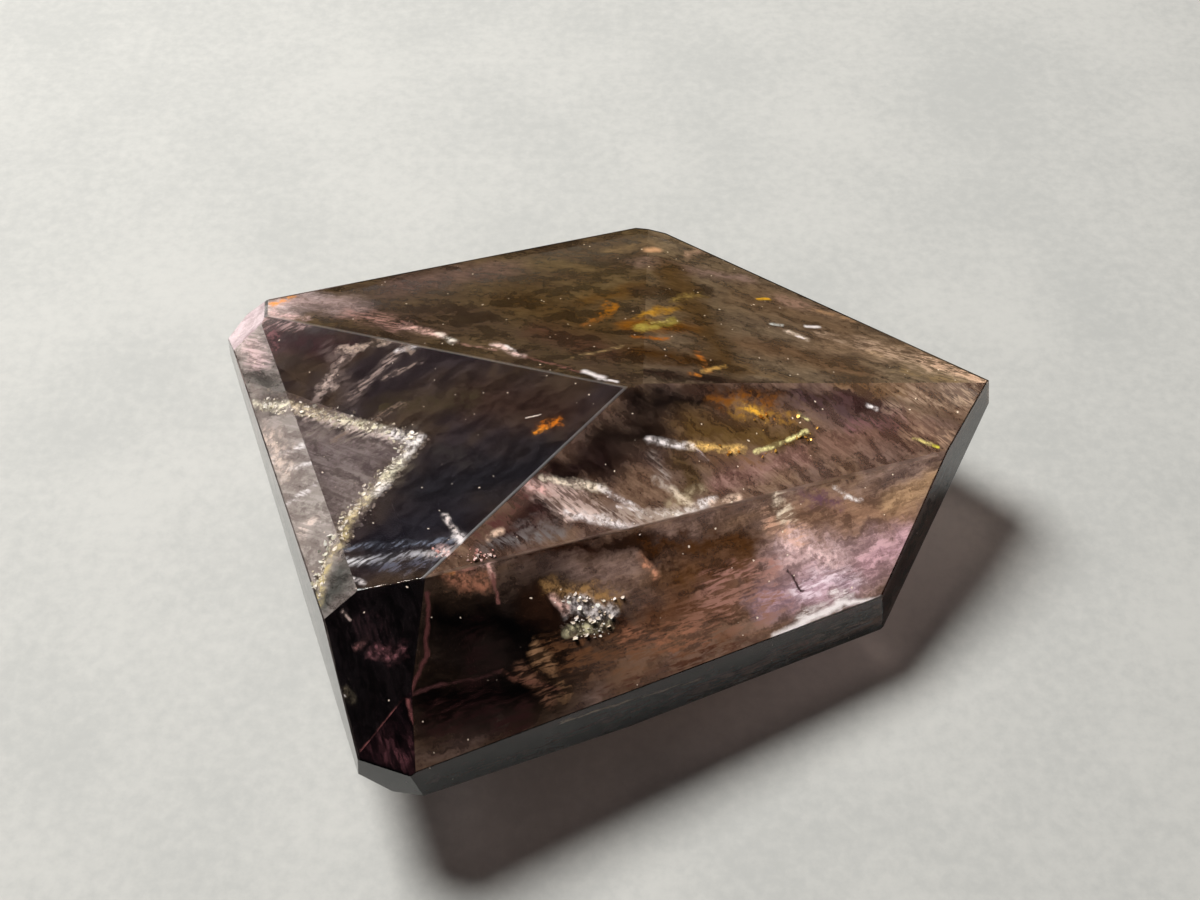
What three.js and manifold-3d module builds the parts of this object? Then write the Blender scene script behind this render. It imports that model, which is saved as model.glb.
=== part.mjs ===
// A polished amethyst crystal: one natural stone, ground into broad flats and polished by hand.
// Millimetres, +Z up. It lies on the flat of its underside, with its longest extent along +X, its bright
// corner at -X and its thick front side at -Y. The origin is under the middle of the stone, on the surface.
import * as THREE from 'three';
import { mergeVertices } from 'three/addons/utils/BufferGeometryUtils.js';
import Module from 'manifold-3d';

// The rough piece that the stone is ground from, and the thickness of what each flat takes off
const ROUGH_LENGTH = 80;
const ROUGH_WIDTH = 76;
const ROUGH_HEIGHT = 26;
const WASTE = 300;

// The ridge between the two large top flats
const ridgeBack = new THREE.Vector3(2.0, -1.4, 18.0);
const ridgeFront = new THREE.Vector3(-12.1, -18.2, 17.0);

// The outer corners of the top flats
const leftTop = new THREE.Vector3(-28.8, 13.3, 11.0);
const backTop = new THREE.Vector3(4.4, 27.5, 8.0);
const backSplit = new THREE.Vector3(11.1, 0.8, 16.2);
const rightTop = new THREE.Vector3(31.5, 4.6, 12.0);
const rightSide = new THREE.Vector3(31.6, 4.9, 10.5);
const frontRightTop = new THREE.Vector3(21.4, -12.7, 6.8);
const frontLeftTop = new THREE.Vector3(-12.8, -29.6, 10.0);
const lowerLeftTop = new THREE.Vector3(-16.5, -28.7, 10.4);
const triangleTop = new THREE.Vector3(-12.6, -24.5, 13.3);
const triangleLow = new THREE.Vector3(-12.8, -29.7, 9.8);
const notchInner = new THREE.Vector3(-17.0, -18.8, 16.1);
const notchOuter = new THREE.Vector3(-19.2, -20.3, 15.0);

// The girdle, where the steep sides meet the flats of the underside
const girdleLeft = new THREE.Vector3(-29.7, 7.1, 7.0);
const girdleLeftFront = new THREE.Vector3(-16.8, -28.7, 8.2);
const girdleTip = new THREE.Vector3(-12.3, -29.7, 7.2);
const girdleFront = new THREE.Vector3(1.4, -23.8, 5.3);
const girdleFrontRight = new THREE.Vector3(22.0, -13.0, 3.0);
const girdleRightLow = new THREE.Vector3(22.6, -11.8, 3.6);
const girdleRight = new THREE.Vector3(28.6, -0.4, 7.4);
const girdleFarRight = new THREE.Vector3(31.6, 5.0, 8.6);
const girdleBack = new THREE.Vector3(4.6, 27.6, 4.0);
const girdleBackLeft = new THREE.Vector3(-30.2, 15.2, 7.0);

// The bright left corner, worn round by nature, and the blunt back corner
const leftCornerLow = new THREE.Vector3(-31.8, 12.6, 7.0);
const leftCornerHigh = new THREE.Vector3(-31.5, 12.6, 10.0);
const leftCornerBack = new THREE.Vector3(-30.3, 15.3, 8.0);
const leftShoulderFront = new THREE.Vector3(-30.4, 11.2, 9.9);
const leftShoulderBack = new THREE.Vector3(-28.9, 14.9, 10.1);
const leftShoulderLow = new THREE.Vector3(-31.6, 13.9, 8.4);
const leftUnderFront = new THREE.Vector3(-31.2, 11.6, 6.2);
const leftUnderBack = new THREE.Vector3(-28.8, 15.2, 6.2);
const backCornerLeft = new THREE.Vector3(3.2, 27.1, 8.0);
const backCornerRight = new THREE.Vector3(6.0, 26.2, 8.0);
const backCornerLow = new THREE.Vector3(4.7, 26.8, 4.0);

// Points on the rim of the flat that the stone lies on
const baseLeftBack = new THREE.Vector3(-18.0, 7.0, 0);
const baseLeft = new THREE.Vector3(-15.0, -5.0, 0);
const baseFrontLeft = new THREE.Vector3(-7.0, -16.0, 0);
const baseFrontRight = new THREE.Vector3(12.0, -12.0, 0);
const baseRight = new THREE.Vector3(20.0, -2.0, 0);
const baseBackRight = new THREE.Vector3(14.0, 11.0, 0);
const baseBackLeft = new THREE.Vector3(-9.0, 14.0, 0);

// The three points that each flat goes through: first the flats of the top, round the ridge
const topFlats = [
  [ridgeBack, ridgeFront, leftTop],
  [ridgeBack, ridgeFront, rightTop],
  [ridgeFront, frontRightTop, frontLeftTop],
  [ridgeFront, notchInner, triangleTop],
  [triangleTop, triangleLow, lowerLeftTop],
  [leftTop, notchInner, notchOuter],
  [ridgeBack, leftTop, backTop],
  [backSplit, backTop, rightTop],
];

// Then the steep sides between the top and the girdle
const steepSides = [
  [notchOuter, lowerLeftTop, girdleLeft],
  [lowerLeftTop, triangleLow, girdleTip],
  [frontLeftTop, frontRightTop, girdleFrontRight],
  [frontRightTop, girdleFrontRight, rightSide],
  [rightTop, backTop, girdleBack],
  [backTop, girdleBack, girdleBackLeft],
];

// The small faces that round the left corner off and blunt the back one
const cornerFaces = [
  [leftCornerLow, leftCornerHigh, leftCornerBack],
  [leftShoulderFront, leftShoulderBack, leftShoulderLow],
  [backCornerLeft, backCornerRight, backCornerLow],
];

// Last the flats of the underside, which slope in from the girdle to the flat that the stone lies on
const underFlats = [
  [leftUnderFront, leftUnderBack, baseLeftBack],
  [girdleLeft, girdleLeftFront, baseLeft],
  [girdleTip, girdleFront, baseFrontLeft],
  [girdleFront, girdleFrontRight, baseFrontRight],
  [girdleRightLow, girdleRight, baseRight],
  [girdleFarRight, girdleBack, baseBackRight],
  [girdleBack, girdleBackLeft, baseBackLeft],
];

// A point well inside the stone, which tells each flat's outer side
const heart = new THREE.Vector3(0, -2, 8);

const wasm = await Module();
wasm.setup();

// A closed three.js geometry as a solid that can be cut
function solidOf(geometry) {
  geometry.deleteAttribute('normal');
  geometry.deleteAttribute('uv');
  const merged = mergeVertices(geometry);
  return new wasm.Manifold(new wasm.Mesh({
    numProp: 3,
    vertProperties: merged.attributes.position.array,
    triVerts: new Uint32Array(merged.index.array),
  }));
}

// The block that grinding takes away beyond the flat through three points of the finished surface
function wasteBeyond(a, b, c) {
  const flat = new THREE.Plane().setFromCoplanarPoints(a, b, c);
  if (flat.distanceToPoint(heart) > 0) {
    flat.negate();
  }
  const block = new THREE.BoxGeometry(WASTE, WASTE, WASTE);
  block.translate(0, 0, WASTE / 2);
  block.applyQuaternion(new THREE.Quaternion().setFromUnitVectors(new THREE.Vector3(0, 0, 1), flat.normal));
  const foot = flat.projectPoint(heart, new THREE.Vector3());
  block.translate(foot.x, foot.y, foot.z);
  return solidOf(block);
}

// The stone after all its flats are ground, moved so that its middle stands over the origin
function groundStone() {
  const rough = new THREE.BoxGeometry(ROUGH_LENGTH, ROUGH_WIDTH, ROUGH_HEIGHT);
  rough.translate(0, 0, ROUGH_HEIGHT / 2);
  let stone = solidOf(rough);
  for (const [a, b, c] of [...topFlats, ...steepSides, ...cornerFaces, ...underFlats]) {
    stone = stone.subtract(wasteBeyond(a, b, c));
  }
  const mesh = stone.getMesh();
  const geometry = new THREE.BufferGeometry();
  geometry.setAttribute('position', new THREE.BufferAttribute(mesh.vertProperties, 3));
  geometry.setIndex(new THREE.BufferAttribute(mesh.triVerts, 1));
  geometry.computeBoundingBox();
  const middle = geometry.boundingBox.getCenter(new THREE.Vector3());
  geometry.translate(-middle.x, -middle.y, 0);
  geometry.computeVertexNormals();
  return geometry;
}

const amethyst = new THREE.MeshStandardMaterial({
  color: 0x4a3440,
  roughness: 0.06,
  metalness: 0,
  flatShading: true,
});
const crystal = new THREE.Mesh(groundStone(), amethyst);
crystal.name = 'amethyst_crystal';

const object = new THREE.Group();
object.add(crystal);

export default object;
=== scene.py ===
# %% [markdown]
# # A polished amethyst crystal
#
# This lesson dresses one natural stone: an amethyst that was ground into broad flats and polished by hand.
# The real stone is clear quartz with a smoky purple colour. What makes it interesting lies inside: clouds,
# healed cracks, a buried crystal face with a grainy crust, and golden flakes.
#
# Glass alone would look empty, and paint on the surface would look like a pebble. So the stone is made as
# nature made it: one clear, dark body, and thin veils inside it that carry the clouds.
#
# Everything is in metres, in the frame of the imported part. Numbers in millimetres are multiplied by `MM`.

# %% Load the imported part
import math
import random

import bmesh
import bpy
from mathutils import Euler, Matrix, Vector


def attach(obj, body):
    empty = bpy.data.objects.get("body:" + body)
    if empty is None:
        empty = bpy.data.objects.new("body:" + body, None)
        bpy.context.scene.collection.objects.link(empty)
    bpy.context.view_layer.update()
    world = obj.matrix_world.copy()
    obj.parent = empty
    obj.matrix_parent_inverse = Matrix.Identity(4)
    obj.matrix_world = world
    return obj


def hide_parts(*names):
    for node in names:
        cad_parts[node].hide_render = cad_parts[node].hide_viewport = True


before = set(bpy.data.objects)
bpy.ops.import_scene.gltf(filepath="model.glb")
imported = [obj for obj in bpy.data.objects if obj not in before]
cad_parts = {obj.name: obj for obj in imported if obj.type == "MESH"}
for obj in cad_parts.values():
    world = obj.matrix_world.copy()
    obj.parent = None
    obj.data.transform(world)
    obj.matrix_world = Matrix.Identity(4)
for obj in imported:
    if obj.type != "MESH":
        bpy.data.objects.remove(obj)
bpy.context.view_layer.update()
MM = 0.001

# %% [markdown]
# ## Camera
# The picture looks down at the stone from its front at 50 degrees, with a normal lens from close by. The
# flats lean at different angles, so a camera that is a few degrees off would change their shapes.

# %% Camera
VIEW_TILT = math.radians(40)
VIEW_FROM = Vector((0.046, -84.22, 110.88)) * MM
LENS = 50
SENSOR_WIDTH = 36
bpy.ops.object.camera_add(location=VIEW_FROM, rotation=(VIEW_TILT, 0, 0))
camera = bpy.context.active_object
camera.name = "view_from_front"
camera.data.lens = LENS
camera.data.sensor_width = SENSOR_WIDTH
camera.data.clip_start = 5 * MM
bpy.context.scene.camera = camera
print("camera", tuple(round(v, 3) for v in camera.location))

# %% [markdown]
# ## Small helpers
# Blender's operators act on whatever is selected. `only` clears the selection first, so that no operator
# reaches a piece it wasn't meant for. The node helpers keep the materials short: a value goes straight into
# an input, and a socket is linked to it.

# %% Helpers for pieces
def only(piece):
    """Selects this piece alone and makes it the active one."""
    bpy.ops.object.select_all(action="DESELECT")
    piece.select_set(True)
    bpy.context.view_layer.objects.active = piece


def edit(piece):
    """Opens this piece alone in edit mode, with all of it selected."""
    only(piece)
    bpy.ops.object.mode_set(mode="EDIT")
    bpy.ops.mesh.select_all(action="SELECT")


def copy_of(piece, name):
    """A new object with its own copy of the piece's mesh."""
    copy = bpy.data.objects.new(name, piece.data.copy())
    bpy.context.scene.collection.objects.link(copy)
    return copy


def select_faces(piece, wanted):
    """In edit mode, selects the faces for which wanted(face) is true."""
    bpy.ops.mesh.select_mode(type="FACE")
    bpy.ops.mesh.select_all(action="DESELECT")
    shape = bmesh.from_edit_mesh(piece.data)
    for face in shape.faces:
        face.select = bool(wanted(face))
    shape.select_flush_mode()
    bmesh.update_edit_mesh(piece.data)


def triangles(piece):
    """How many triangles the piece has."""
    piece.data.calc_loop_triangles()
    return len(piece.data.loop_triangles)


# %% Helpers for materials
def node(tree, kind, settings=None, inputs=None):
    """Adds a shader node. An input is given a plain value, or linked where the value is a socket."""
    new = tree.nodes.new("ShaderNode" + kind)
    for name, value in (settings or {}).items():
        setattr(new, name, value)
    for name, value in (inputs or {}).items():
        if isinstance(value, bpy.types.NodeSocket):
            tree.links.new(value, new.inputs[name])
        else:
            new.inputs[name].default_value = value
    return new


def maths(tree, operation, *values, clamp=False):
    """The output of a Math node."""
    settings = {"operation": operation, "use_clamp": clamp}
    return node(tree, "Math", settings, dict(enumerate(values))).outputs[0]


def vectors(tree, operation, inputs, output="Vector"):
    """The output of a Vector Math node."""
    return node(tree, "VectorMath", {"operation": operation}, inputs).outputs[output]


def blend_colours(tree, share, first, second):
    """The first colour, turning into the second as share goes to 1."""
    return node(tree, "Mix", {"data_type": "RGBA"}, {0: share, 6: first, 7: second}).outputs[2]


def darker(tree, share, first, second):
    """The first colour, turning into its product with the second as share goes to 1."""
    settings = {"data_type": "RGBA", "blend_type": "MULTIPLY"}
    return node(tree, "Mix", settings, {0: share, 6: first, 7: second}).outputs[2]


def blend_values(tree, share, first, second):
    """The first value, turning into the second as share goes to 1."""
    return node(tree, "Mix", {"data_type": "FLOAT"}, {0: share, 2: first, 3: second}).outputs[0]


def ramp(tree, value, low, high, to_low=0.0, to_high=1.0):
    """A smooth step of value from low to high."""
    return node(tree, "MapRange", {"interpolation_type": "SMOOTHSTEP"},
                {0: value, 1: low, 2: high, 3: to_low, 4: to_high}).outputs[0]


def noise(tree, point, scale, detail, roughness=0.5):
    """Smoke-like noise, as the outputs of a Noise node: first a value, then a colour."""
    return node(tree, "TexNoise", inputs={
        "Vector": point, "Scale": scale, "Detail": detail, "Roughness": roughness}).outputs


def shader_group(name, inputs):
    """A node group that makes a mask. Gives the group, its input sockets and the socket for the mask."""
    group = bpy.data.node_groups.new(name, "ShaderNodeTree")
    for label, value in inputs.items():
        kind = "NodeSocketVector" if isinstance(value, tuple) else "NodeSocketFloat"
        socket = group.interface.new_socket(label, in_out="INPUT", socket_type=kind)
        socket.default_value = value
    group.interface.new_socket("Mask", in_out="OUTPUT", socket_type="NodeSocketFloat")
    given = group.nodes.new("NodeGroupInput").outputs
    return group, given, group.nodes.new("NodeGroupOutput").inputs["Mask"]


def use_group(tree, group, inputs):
    """Places the group in a material and gives its mask."""
    return node(tree, "Group", {"node_tree": group}, inputs).outputs["Mask"]


def new_material(name):
    """An empty material with its output node, and the object's own coordinates in millimetres."""
    material = bpy.data.materials.new(name)
    material.use_nodes = True
    tree = material.node_tree
    tree.nodes.clear()
    output = node(tree, "OutputMaterial")
    own = node(tree, "TexCoord").outputs["Object"]
    point = vectors(tree, "SCALE", {0: own, "Scale": 1 / MM})
    return material, tree, output, point


def let_lamp_through(tree, output, surface, tint):
    """Rays that go to the lamp pass straight through, with this tint. All others meet the surface."""
    window = node(tree, "BsdfTransparent", inputs={"Color": tint})
    to_lamp = node(tree, "LightPath").outputs["Is Shadow Ray"]
    shaders = {0: to_lamp, 1: surface.outputs[0], 2: window.outputs[0]}
    mixed = node(tree, "MixShader", inputs=shaders)
    tree.links.new(mixed.outputs[0], output.inputs["Surface"])


def colour(red, green, blue):
    """A colour as a picture shows it, 0 to 255, turned into the linear light that shaders use."""
    return tuple((v / 255) ** 2.2 for v in (red, green, blue)) + (1.0,)


# %% [markdown]
# ## Floor and light
# A plain pale table, one large soft lamp behind the stone on the left and high up, and a weak even sky. The
# large lamp gives the shadow its soft rim. It stands where none of the top flats mirrors it into the view, so
# the polish doesn't hide what lies inside.

# %% Floor
TABLE_SIZE = 3
FLOOR_DROP = 0.03
bpy.ops.mesh.primitive_plane_add(size=TABLE_SIZE, location=(0, 0, -FLOOR_DROP * MM))
floor = bpy.context.active_object
floor.name = "pale_table"
material, tree, output, point = new_material("pale_table_top")
speckle = noise(tree, point, 0.9, 6.0, 0.65)[0]
blotches = noise(tree, point, 0.06, 3.0)[0]
tone = maths(tree, "ADD", maths(tree, "MULTIPLY", speckle, 0.5), maths(tree, "MULTIPLY", blotches, 0.5))
table = blend_colours(tree, ramp(tree, tone, 0.35, 0.65), colour(196, 197, 194), colour(211, 211, 207))
surface = node(tree, "BsdfPrincipled", inputs={"Base Color": table, "Roughness": 0.75})
tree.links.new(surface.outputs[0], output.inputs["Surface"])
floor.data.materials.append(material)

# %% Lights
LAMP_WAY = Vector((-0.406, 0.406, 0.819))
LAMP_DISTANCE = 0.6
LAMP_SIZE = 0.27
LAMP_WATTS = 4.6
SKY_STRENGTH = 0.016
bpy.ops.object.light_add(type="AREA", location=LAMP_WAY * LAMP_DISTANCE)
lamp = bpy.context.active_object
lamp.name = "soft_lamp"
lamp.rotation_euler = LAMP_WAY.to_track_quat("Z", "Y").to_euler()
lamp.data.shape = "DISK"
lamp.data.size = LAMP_SIZE
lamp.data.energy = LAMP_WATTS
lamp.data.color = (1.0, 0.98, 0.95)
world = bpy.data.worlds.new("soft_sky")
world.use_nodes = True
sky = world.node_tree.nodes["Background"]
sky.inputs["Color"].default_value = (0.92, 0.96, 1.0, 1.0)
sky.inputs["Strength"].default_value = SKY_STRENGTH
bpy.context.scene.world = world
bpy.context.scene.view_settings.view_transform = "Standard"
print("lamp", LAMP_WATTS, "W, sky", SKY_STRENGTH)

# %% [markdown]
# ## The stone's flats
# The part's own solid gives the shape. Its mesh comes as loose triangles, so a copy is merged, and the
# triangles of each flat are dissolved into one face. This copy is the pattern for the clear body and for the
# veils inside, which then fit it exactly. `PLANES` notes where each flat lies.

# %% Merge the flats
MERGE_WITHIN = 0.01
SAME_FLAT_WITHIN = math.radians(0.5)
flats = copy_of(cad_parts["amethyst_crystal"], "flats")
edit(flats)
bpy.ops.mesh.remove_doubles(threshold=MERGE_WITHIN * MM)
bpy.ops.mesh.dissolve_limited(angle_limit=SAME_FLAT_WITHIN)
bpy.ops.mesh.normals_make_consistent(inside=False)
bpy.ops.object.mode_set(mode="OBJECT")
flats.data.materials.clear()
PLANES = [(face.normal.copy(), face.normal.dot(face.center) / MM) for face in flats.data.polygons]
print("flats", len(PLANES))

# %% [markdown]
# ## The worn left corner
# This corner was never ground: it is worn round by nature. Its edges are rounded here, on the pattern, so
# that the haze inside follows the same curve and leaves no dark gap.

# %% Round the worn corner
CORNER_BEYOND = -28.2
CORNER_ROUND = 0.9
SLIVER = 0.02
edit(flats)
bpy.ops.mesh.select_mode(type="EDGE")
bpy.ops.mesh.select_all(action="DESELECT")
shape = bmesh.from_edit_mesh(flats.data)
for edge in shape.edges:
    middle = (edge.verts[0].co + edge.verts[1].co) / 2
    edge.select = middle.x < CORNER_BEYOND * MM
bmesh.update_edit_mesh(flats.data)
bpy.ops.mesh.bevel(offset=CORNER_ROUND * MM, segments=4, affect="EDGES", clamp_overlap=True)
bpy.ops.mesh.remove_doubles(threshold=SLIVER * MM)
bpy.ops.object.mode_set(mode="OBJECT")
print("flats and the round corner", len(flats.data.polygons))

# %% The way that each flat faces, by which it is found again
LEFT_TOP = (-0.179, 0.092, 0.980)
BACK_LEFT = (-0.056, 0.331, 0.942)
BACK_RIGHT = (0.133, 0.321, 0.938)
RIGHT_TOP = (0.243, -0.259, 0.935)
FRONT = (0.326, -0.509, 0.797)
DARK_CORNER = (-0.097, -0.498, 0.862)
LEFT_BEVEL = (-0.437, -0.018, 0.899)
FRONT_SIDE = (0.449, -0.882, 0.141)
TRIANGLE = (-0.016, -0.558, 0.830)
TIP_SIDE = (-0.268, -0.962, -0.052)
RIGHT_SIDE = (0.836, -0.521, 0.173)
BACK_SIDE_LEFT = (-0.335, 0.942, 0.007)
BACK_SIDE_RIGHT = (0.640, 0.767, 0.051)
LEFT_SIDE = (-0.938, -0.339, 0.069)

# %% [markdown]
# ## The clear body
# Hand polishing leaves no sharp edge, so every edge gets a hair-fine round. The shading normals are weighted
# by area, or the large flats would look like cushions.

# %% Round the edges
EDGE_ROUND = 0.1
EDGE_ANGLE = math.radians(13)
LARGE_FLAT = 20
body = copy_of(flats, "polished_stone")
only(body)
bpy.ops.object.shade_smooth()
bpy.ops.object.modifier_add(type="BEVEL")
bevel = body.modifiers[-1]
bevel.width = EDGE_ROUND * MM
bevel.segments = 2
bevel.limit_method = "ANGLE"
bevel.angle_limit = EDGE_ANGLE
bpy.ops.object.modifier_apply(modifier=bevel.name)
bpy.ops.object.modifier_add(type="WEIGHTED_NORMAL")
level = body.modifiers[-1]
level.weight = 100
bpy.ops.object.modifier_apply(modifier=level.name)
large = [face for face in body.data.polygons if face.area > LARGE_FLAT * MM * MM]
tilted = max(math.degrees(face.normal.angle(body.data.corner_normals[corner].vector))
             for face in large for corner in face.loop_indices)
print("the flats' shading leans by at most", round(tilted, 2), "degrees")
print("body", triangles(body), "triangles")

# %% [markdown]
# ## Effects that several materials use
# All work in millimetres of the stone itself, so a mark stays where it is put, from whatever side it is seen.
#
# `streak` is a soft band between two points. With both points close together it is a spot. `wavering` first
# moves the points about by noise, so that the edge of a streak wanders. `fibres` is noise drawn out along one
# way, as in a healed crack. `grains` are small bright cells.

# %% Streak
ORIGIN = (0.0, 0.0, 0.0)
STREAK_REACH = 1.15
streak, given, mask = shader_group("streak", {
    "Point": ORIGIN, "Start": ORIGIN, "Axis": (1.0, 0.0, 0.0), "Width": 1.0})
reach = vectors(streak, "SUBTRACT", {0: given["Point"], 1: given["Start"]})
along = maths(streak, "DIVIDE", vectors(streak, "DOT_PRODUCT", {0: reach, 1: given["Axis"]}, "Value"),
              vectors(streak, "DOT_PRODUCT", {0: given["Axis"], 1: given["Axis"]}, "Value"), clamp=True)
nearest = vectors(streak, "SCALE", {0: given["Axis"], "Scale": along})
off = vectors(streak, "DISTANCE", {0: reach, 1: nearest}, "Value")
streak.links.new(ramp(streak, maths(streak, "DIVIDE", off, given["Width"]), STREAK_REACH, 0.0), mask)


def wavering(tree, point, fineness, *reaches):
    """The point, moved about by smoke-like noise. Gives one moved point for each reach, in millimetres."""
    cloud = noise(tree, point, fineness, 4.0, 0.66)["Color"]
    sway = vectors(tree, "SUBTRACT", {0: cloud, 1: (0.5, 0.5, 0.5)})
    moves = [vectors(tree, "SCALE", {0: sway, "Scale": far}) for far in reaches]
    return [vectors(tree, "ADD", {0: point, 1: move}) for move in moves]


def streak_mask(tree, point, start, end, width):
    """A soft band of this half width round the line from start to end."""
    axis = Vector(end) - Vector(start) + Vector((0, 0, 0.001))
    return use_group(tree, streak, {"Point": point, "Start": start, "Axis": axis, "Width": float(width)})


# %% Fibres
fibres, given, mask = shader_group("fibres", {
    "Point": ORIGIN, "Way": (1.0, 0.0, 0.0), "Fineness": 3.0, "Drawn Out": 8.0, "Low": 0.4, "High": 0.65})
along = vectors(fibres, "DOT_PRODUCT", {0: given["Point"], 1: given["Way"]}, "Value")
lengthways = maths(fibres, "DIVIDE", given["Fineness"], given["Drawn Out"])
squeeze = maths(fibres, "MULTIPLY", along, maths(fibres, "SUBTRACT", given["Fineness"], lengthways))
squeezed = vectors(fibres, "SUBTRACT", {
    0: vectors(fibres, "SCALE", {0: given["Point"], "Scale": given["Fineness"]}),
    1: vectors(fibres, "SCALE", {0: given["Way"], "Scale": squeeze})})
cloud = node(fibres, "TexNoise", inputs={
    "Vector": squeezed, "Scale": 1.0, "Detail": 5.0, "Roughness": 0.6, "Distortion": 0.4})
fibres.links.new(ramp(fibres, cloud.outputs[0], given["Low"], given["High"]), mask)


def fibre_mask(tree, point, way, fineness, drawn, low, high):
    """Fibres that run this way. They begin where the noise is at low and are full where it is at high."""
    return use_group(tree, fibres, {
        "Point": point, "Way": way, "Fineness": fineness, "Drawn Out": drawn, "Low": low, "High": high})


# %% Grains
grains, given, mask = shader_group("grains", {"Point": ORIGIN, "Fineness": 3.0, "Share": 0.4})
cells = node(grains, "TexVoronoi", inputs={"Vector": given["Point"], "Scale": given["Fineness"]})
chance = node(grains, "SeparateColor", inputs={0: cells.outputs["Color"]}).outputs[0]
shown = maths(grains, "LESS_THAN", chance, given["Share"])
inside = ramp(grains, cells.outputs["Distance"], 0.55, 0.25)
grains.links.new(maths(grains, "MULTIPLY", shown, inside), mask)

# %% [markdown]
# ## The clear body's material
# Quartz bends light with an index of 1.544. Its colour is real absorption: light loses more the longer its
# path, so thick parts look dark and thin edges pale. Amethyst also grows in zones, which a plain absorption
# can't show, so the surface colour tints the light differently at each end of the stone.
#
# Rays that go to the lamp pass straight through, with a tint. Without this the veils inside would be lit by
# chance alone and the picture would be grainy. The tint is nearly clear on the way out of the stone and dark
# on the way in, so the veils are lit and the shadow on the table is deep.

# %% Material of the body
QUARTZ_INDEX = 1.544
ZONES = [
    # centre, reach, tint
    ((-16, -4, 12), 17, (206, 202, 206)),
    ((-9, -24, 8), 15, (150, 142, 142)),
    ((0, 18, 10), 17, (226, 218, 192)),
    ((20, -4, 9), 19, (246, 240, 240)),
    ((31, 5, 10), 9, (250, 244, 236)),
    ((-31, 14, 9), 6, (250, 240, 240)),
]
material, tree, output, point = new_material("polished_amethyst")
tint = node(tree, "RGB").outputs[0]
tint.default_value = colour(196, 188, 190)
zone_point = wavering(tree, point, 0.12, 6.0)[0]
for centre, radius, tone in ZONES:
    tint = blend_colours(tree, streak_mask(tree, zone_point, centre, centre, radius), tint, colour(*tone))

# %% Scratches and worn ridges, where the polish is duller
SCRATCHES = [
    # way, fineness, how far they are drawn out, low, high
    ((0.81, 0.57, -0.1), 7.0, 60.0, 0.66, 0.74),
    ((0.45, -0.88, 0.1), 9.0, 80.0, 0.68, 0.75),
]
scratch = maths(tree, "MAXIMUM", *(fibre_mask(tree, point, *kind) for kind in SCRATCHES))
RIDGE_BACK = (2.0, -0.1, 18.0)
RIDGE_FRONT = (-12.1, -16.9, 17.0)
WORN_RIDGES = [
    ((-28.8, 14.6, 11.0), RIDGE_BACK),
    (RIDGE_BACK, RIDGE_FRONT),
    (RIDGE_FRONT, (26.2, -1.2, 11.4)),
    ((13.4, -15.4, 7.6), (21.4, -11.4, 6.8)),
]
WORN_WIDTH = 0.22
worn = 0.0
for start, end in WORN_RIDGES:
    worn = maths(tree, "MAXIMUM", worn, streak_mask(tree, point, start, end, WORN_WIDTH))
POLISHED = 0.012
SMEARED = 0.05
SCRATCHED = 0.1
WORN = 0.55
gloss = ramp(tree, noise(tree, point, 0.25, 3.0)[0], 0.4, 0.7, POLISHED, SMEARED)
gloss = maths(tree, "ADD", gloss, maths(tree, "MULTIPLY", scratch, SCRATCHED))
gloss = maths(tree, "MAXIMUM", gloss, maths(tree, "MULTIPLY", worn, WORN))
dent = node(tree, "Bump", inputs={"Height": scratch, "Strength": 0.06, "Distance": 0.02 * MM})

# %% Glass and absorption
WAY_IN = colour(48, 33, 27)
WAY_OUT = colour(252, 247, 245)
ABSORPTION_COLOUR = (0.41, 0.395, 0.39, 1.0)
ABSORPTION = 190.0
surface = node(tree, "BsdfPrincipled", inputs={
    "Base Color": tint, "Roughness": gloss, "IOR": QUARTZ_INDEX, "Transmission Weight": 1.0,
    "Normal": dent.outputs[0]})
from_inside = node(tree, "NewGeometry").outputs["Backfacing"]
let_lamp_through(tree, output, surface, blend_colours(tree, from_inside, WAY_IN, WAY_OUT))
depth = node(tree, "VolumeAbsorption", inputs={"Color": ABSORPTION_COLOUR, "Density": ABSORPTION})
tree.links.new(depth.outputs[0], output.inputs["Volume"])
body.data.materials.append(material)
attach(body, "root")
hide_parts("amethyst_crystal")

# %% [markdown]
# ## Veils
# Most of the clouds lie in thin layers just under a polished flat, because the flats cut through them. For
# each veil, all flats of a copy are sunk together to the same depth, so that neighbours meet under the ridge
# between them. Then only the wanted flats are kept, divided finely and rippled.

# %% Lift a veil from a flat
VEIL_DEPTH = 0.16
VEIL_RIPPLE = 0.1
SAME_WAY = 0.995


def facing(*ways):
    """A test for faces that look one of these ways."""
    return lambda face: any(face.normal.dot(way) >= SAME_WAY for way in ways)


def at_corner(face):
    """Whether the face belongs to the worn left corner."""
    beside = facing(LEFT_SIDE, LEFT_BEVEL, BACK_SIDE_LEFT)
    return face.calc_center_median().x < CORNER_BEYOND * MM and not beside(face)


def lift_veil(name, wanted, ripple=VEIL_RIPPLE, cuts=10):
    """Rippled sheets under the flats for which wanted(face) is true."""
    veil = copy_of(flats, name)
    edit(veil)
    bpy.ops.transform.shrink_fatten(value=-VEIL_DEPTH * MM, use_even_offset=True)
    select_faces(veil, lambda face: not wanted(face))
    bpy.ops.mesh.delete(type="FACE")
    bpy.ops.mesh.select_all(action="SELECT")
    bpy.ops.mesh.quads_convert_to_tris()
    bpy.ops.mesh.subdivide(number_cuts=cuts)
    bpy.ops.object.mode_set(mode="OBJECT")
    ripple_piece(veil, ripple, spacing=4.0)
    return veil


def ripple_piece(piece, height, spacing):
    """Moves the piece's points along their normals by a cloud pattern."""
    only(piece)
    swell = bpy.data.textures.new(piece.name + "_swell", type="CLOUDS")
    swell.noise_scale = spacing * MM
    bpy.ops.object.modifier_add(type="DISPLACE")
    push = piece.modifiers[-1]
    push.texture = swell
    push.strength = height * MM
    bpy.ops.object.modifier_apply(modifier=push.name)
    bpy.ops.object.shade_smooth()


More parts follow.
